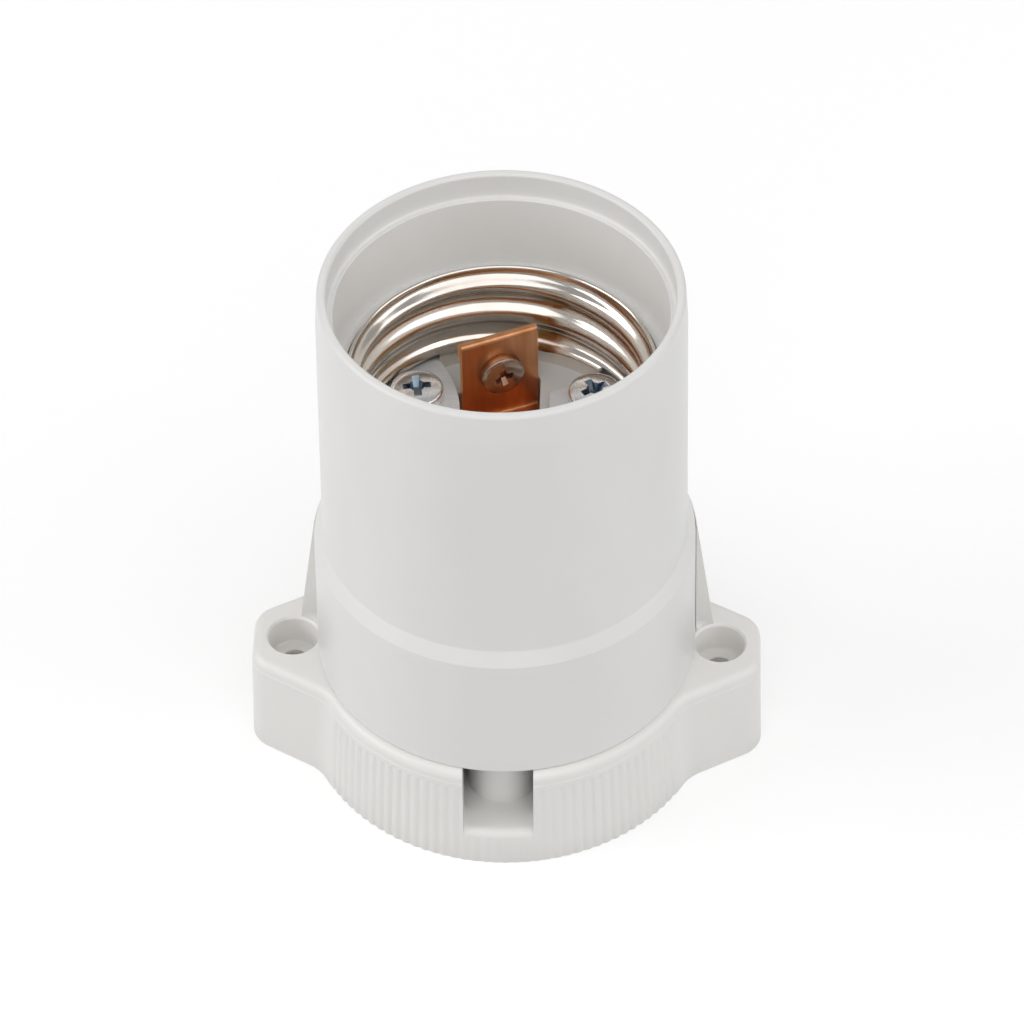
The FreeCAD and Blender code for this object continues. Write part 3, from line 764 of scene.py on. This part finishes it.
# Centre contact. One strip of copper alloy: a hem at the top, an upright face with its screw, and
# a narrower tongue that springs up in the middle of the shell. The screw clamps it to the brass
# terminal behind it.
contact_top = 0.0412
hem_length = 0.002
hem_gap = 0.00015
contact_foot = 0.0311
tongue_slope = radians(32)
tongue_reach = 0.0084
tip_length = 0.0012
contact_screw_level = 0.0371
contact_screw_radius = 0.00125
contact_screw_length = 0.0022
contact_head_radius = 0.00205
contact_head_height = 0.0011
contact_arm_share = 0.44


def strip_side():
    """Middle line of the strip's side view as (y, z, half width) from the tip to the hem's end."""
    middle = contact_face + contact_sheet / 2
    foot = contact_foot + contact_sheet / 2
    bend_y, rise = middle - tongue_reach, tongue_reach * tan(tongue_slope)
    tip = (bend_y - tip_length * cos(tongue_slope), foot + rise - tip_length * sin(tongue_slope))
    fold = (contact_sheet + hem_gap) / 2
    top = contact_top - contact_sheet / 2 - fold
    corners = [tip, (bend_y, foot + rise), (middle, foot), (middle, top)]
    line = [tip]
    for before, here, after in zip(corners, corners[1:], corners[2:]):
        here = Vector(here)
        into, out = (Vector(before) - here).normalized(), (Vector(after) - here).normalized()
        half = into.angle(out) / 2
        centre = here + (into + out).normalized() * (bend_radius / sin(half))
        start = here + into * (bend_radius / tan(half)) - centre
        turn = start.angle_signed(here + out * (bend_radius / tan(half)) - centre)
        line += [tuple(centre + Matrix.Rotation(-turn * k / 8, 2) @ start) for k in range(9)]
        if here.y < contact_foot + rise / 2:
            continue
        for knee_y in (knee_front - 0.0001, knee_front):
            line.append((knee_y, foot + (middle - knee_y) * tan(tongue_slope)))
    line.append((middle, contact_screw_level))
    for k in range(13):
        turn = pi - pi * k / 12
        line.append((middle + fold + fold * cos(turn), top + fold * sin(turn)))
    line.append((middle + 2 * fold, contact_top - hem_length + 0.0002))
    return line


def strip_rows(line):
    """Cross sections of the strip along its middle line, with rounded long edges."""
    rows = []
    for i, (y, z) in enumerate(line):
        back = Vector(line[max(i - 1, 0)])
        ahead = Vector(line[min(i + 1, len(line) - 1)])
        along = (ahead - back).normalized()
        across = Vector((-along.y, along.x)) * contact_sheet / 2
        left = tongue_width / 2 if y < knee_front else contact_width / 2
        taper = max(0, contact_face - y) * tan(contact_turn)
        right = max(tongue_width / 2, contact_width / 2 - taper)
        edge = contact_sheet * 0.3
        section = []
        for x, depth in ((-left, -0.4), (-left + edge, -1), (right - edge, -1), (right, -0.4),
                         (right, 0.4), (right - edge, 1), (-left + edge, 1), (-left, 0.4)):
            section.append((contact_offset + x, y + across.x * depth, z + across.y * depth))
        rows.append(section)
    return rows


def copper():
    """Rolled copper alloy: warm red-brown, with rolling lines along the strip."""
    material, tree, shader = node_tree("copper alloy strip")
    colour = ramp(tree, noise(tree, 260, 4, (4, 4, 0.4)), (0.62, 0.27, 0.12), (0.78, 0.39, 0.2))
    tree.links.new(colour, shader.inputs["Base Color"])
    shader.inputs["Metallic"].default_value = 1.0
    grain = noise(tree, 900, 3, (7, 7, 0.4))
    tree.links.new(spread(tree, grain, 0.3, 0.4), shader.inputs["Roughness"])
    tree.links.new(bump(tree, grain, 0.000006, 0.5), shader.inputs["Normal"])
    return material


strip = turned_piece("contact_strip", skin(strip_rows(strip_side())))
strip_axis = Matrix.Rotation(contact_turn, 3, "Z")
facing = strip_axis @ Vector((0, -1, 0))
screw_place = strip_axis @ Vector((contact_offset, contact_face, contact_screw_level))
soften(strip, 0)
strip.data.materials.clear()
strip.data.materials.append(copper())
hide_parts("centre_contact")
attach(strip, "root")
contact_screw = screw_solid("contact_screw", contact_screw_radius, contact_screw_length,
                            contact_head_radius, contact_head_height, contact_arm_share)
# The contact screw's nickel is painted brown and darker, as the reflection of the copper strip
# around it.
contact_screw_copper_reflection = plated("nickel with painted copper reflection", (0.42, 0.31, 0.25), (0.56, 0.44, 0.37), (0.12, 0.2))
# Its recess is painted dark red-brown, as the shade in the recess together with the copper's
# reflection.
copper_screw_recess_shade = plated("painted shade and copper reflection in recess", (0.24, 0.12, 0.08), (0.4, 0.24, 0.17),
                        (0.16, 0.26))
place_screw(contact_screw, screw_place, facing, radians(12), contact_screw_copper_reflection, copper_screw_recess_shade,
            "centre_contact_screw")

# Terminals under the contact floor, and the screws that hold the holder together. Plain rolled
# brass carries the current from the shell and the centre contact to two screws with steel wire
# clamps; two tapping screws go up through the base into the barrel.


def brass():
    """Plain rolled brass with a dull oxide bloom."""
    material, tree, shader = node_tree("rolled brass")
    colour = ramp(tree, noise(tree, 260, 4), (0.62, 0.45, 0.18), (0.82, 0.63, 0.3))
    tree.links.new(colour, shader.inputs["Base Color"])
    shader.inputs["Metallic"].default_value = 1.0
    tree.links.new(spread(tree, noise(tree, 700), 0.26, 0.42), shader.inputs["Roughness"])
    relief = bump(tree, noise(tree, 1500, 2, (6, 1, 1)), 0.00001, 0.5)
    tree.links.new(relief, shader.inputs["Normal"])
    return material


terminal_finish = brass()
hidden_finish = plated("zinc plated fixing", (0.62, 0.63, 0.66), (0.82, 0.83, 0.85), (0.28, 0.46))
for node in ("live_terminal", "neutral_terminal"):
    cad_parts[node].data.materials.clear()
    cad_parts[node].data.materials.append(terminal_finish)
for node in ("right_shell_nut", "live_wire_clamp", "live_terminal_screw", "neutral_wire_clamp",
             "neutral_terminal_screw", "front_body_screw", "rear_body_screw"):
    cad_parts[node].data.materials.clear()
    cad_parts[node].data.materials.append(hidden_finish)

# Studio. A white paper sweep lies under the holder and keeps its soft shadow. Four broad lamps
# hang in front, at both sides and behind, and the camera looks down at the mouth from the front.
floor_half = 1.5
floor_grey = (0.58, 0.58, 0.58, 1)
floor_glow = 0.5
ambient_light = 0.33
camera_place = (0.0150144, -0.3246706, 0.3494364)


def white_for_camera(tree, surface, output, strength):
    """Adds a little white light of the surface's own, only as the camera and mirrors see it."""
    path = tree.nodes.new("ShaderNodeLightPath")
    either = tree.nodes.new("ShaderNodeMath")
    either.operation = "MAXIMUM"
    last = tree.nodes.new("ShaderNodeMath")
    last.operation = "MAXIMUM"
    glow = tree.nodes.new("ShaderNodeEmission")
    scale = tree.nodes.new("ShaderNodeMath")
    scale.operation = "MULTIPLY"
    scale.inputs[1].default_value = strength
    add = tree.nodes.new("ShaderNodeAddShader")
    tree.links.new(path.outputs["Is Camera Ray"], either.inputs[0])
    tree.links.new(path.outputs["Is Glossy Ray"], either.inputs[1])
    tree.links.new(either.outputs[0], last.inputs[0])
    tree.links.new(path.outputs["Is Transmission Ray"], last.inputs[1])
    tree.links.new(last.outputs[0], scale.inputs[0])
    tree.links.new(scale.outputs[0], glow.inputs["Strength"])
    tree.links.new(surface, add.inputs[0])
    tree.links.new(glow.outputs[0], add.inputs[1])
    tree.links.new(add.outputs[0], output.inputs["Surface"])


floor = make_piece("studio_floor", skin(
    [[(-floor_half, -floor_half, 0), (floor_half, -floor_half, 0)],
     [(-floor_half, floor_half, 0), (floor_half, floor_half, 0)]], around=False, ends=False))
floor_paint, floor_tree, floor_shader = node_tree("white paper sweep")
floor_shader.inputs["Base Color"].default_value = floor_grey
floor_shader.inputs["Roughness"].default_value = 0.9
white_for_camera(floor_tree, floor_shader.outputs[0], floor_tree.nodes["Material Output"],
                 floor_glow)
floor.data.materials.append(floor_paint)

world = bpy.data.worlds.new("studio light")
bpy.context.scene.world = world
world.use_nodes = True
sky = world.node_tree.nodes["Background"]
sky.inputs["Color"].default_value = (1, 1, 1, 1)
sky.inputs["Strength"].default_value = ambient_light


def lamp(name, place, size, power, target=(0, 0, 0.03)):
    """Broad lamp of a given width and height that faces the holder."""
    light = bpy.data.lights.new(name, "AREA")
    light.shape = "RECTANGLE"
    light.size, light.size_y = size
    light.energy = power
    holder = bpy.data.objects.new(name, light)
    holder.location = place
    holder.rotation_mode = "QUATERNION"
    holder.rotation_quaternion = (Vector(target) - Vector(place)).to_track_quat("-Z", "Y")
    bpy.context.scene.collection.objects.link(holder)


lamp("lamp front", (0.14, -0.58, 0.66), (1.2, 0.95), 3.55)
lamp("lamp left", (-0.65, -0.1, 0.4), (0.6, 0.5), 2.35)
lamp("lamp right", (0.65, -0.1, 0.4), (0.6, 0.5), 1.3)
lamp("lamp back", (0.0, 0.75, 0.5), (1.0, 0.4), 0.9)

camera_data = bpy.data.cameras.new("camera")
camera = bpy.data.objects.new("camera", camera_data)
bpy.context.scene.collection.objects.link(camera)
bpy.context.scene.camera = camera
camera_data.sensor_width = 36
camera_data.lens = 175.78
camera_data.clip_start = 0.01
right = Vector((0.99936909, 0.03401726, -0.01020972))
up = Vector((-0.01671966, 0.70422403, 0.70978093))
forward = Vector((-0.03133473, 0.70916242, -0.70434849))
aim = Matrix((right, up, -forward)).transposed().to_4x4()
camera.matrix_world = Matrix.Translation(camera_place) @ aim
bpy.context.scene.view_settings.view_transform = "Standard"
